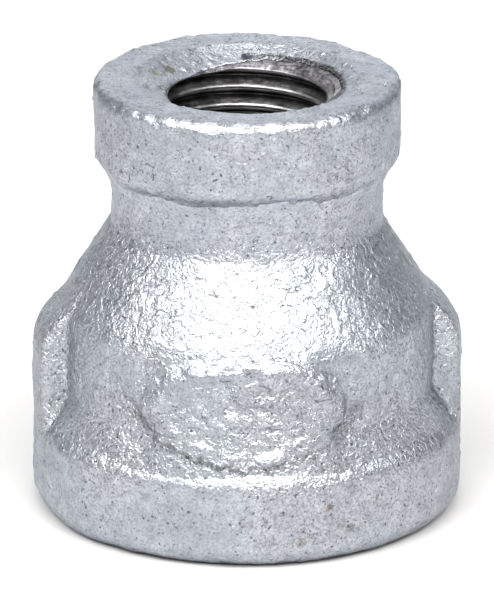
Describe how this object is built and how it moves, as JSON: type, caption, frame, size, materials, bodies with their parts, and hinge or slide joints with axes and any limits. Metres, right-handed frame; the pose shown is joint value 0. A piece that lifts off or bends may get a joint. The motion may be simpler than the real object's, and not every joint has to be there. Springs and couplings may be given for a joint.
{
  "type": "pipe reducing coupling",
  "caption": "Galvanised malleable iron reducing coupling with banded ends, wrench ribs and female taper pipe threads of different sizes at its ends.",
  "frame": {"origin": "centre of the large end face, on the bore's axis", "axes": "+Z along the bore to the small end, -Y towards the blank oval pad, wrench ribs near +X and -X"},
  "size_m": [0.0307, 0.0306, 0.0318],
  "materials": {
    "bare_iron": "machined and oily",
    "zinc": "hot-dip galvanised, dull to bright"
  },
  "bodies": {
    "root": {"iron_casting": "bare_iron", "outer_zinc_coat": "zinc", "waist_zinc_coat": "zinc"}
  },
  "joints": []
}
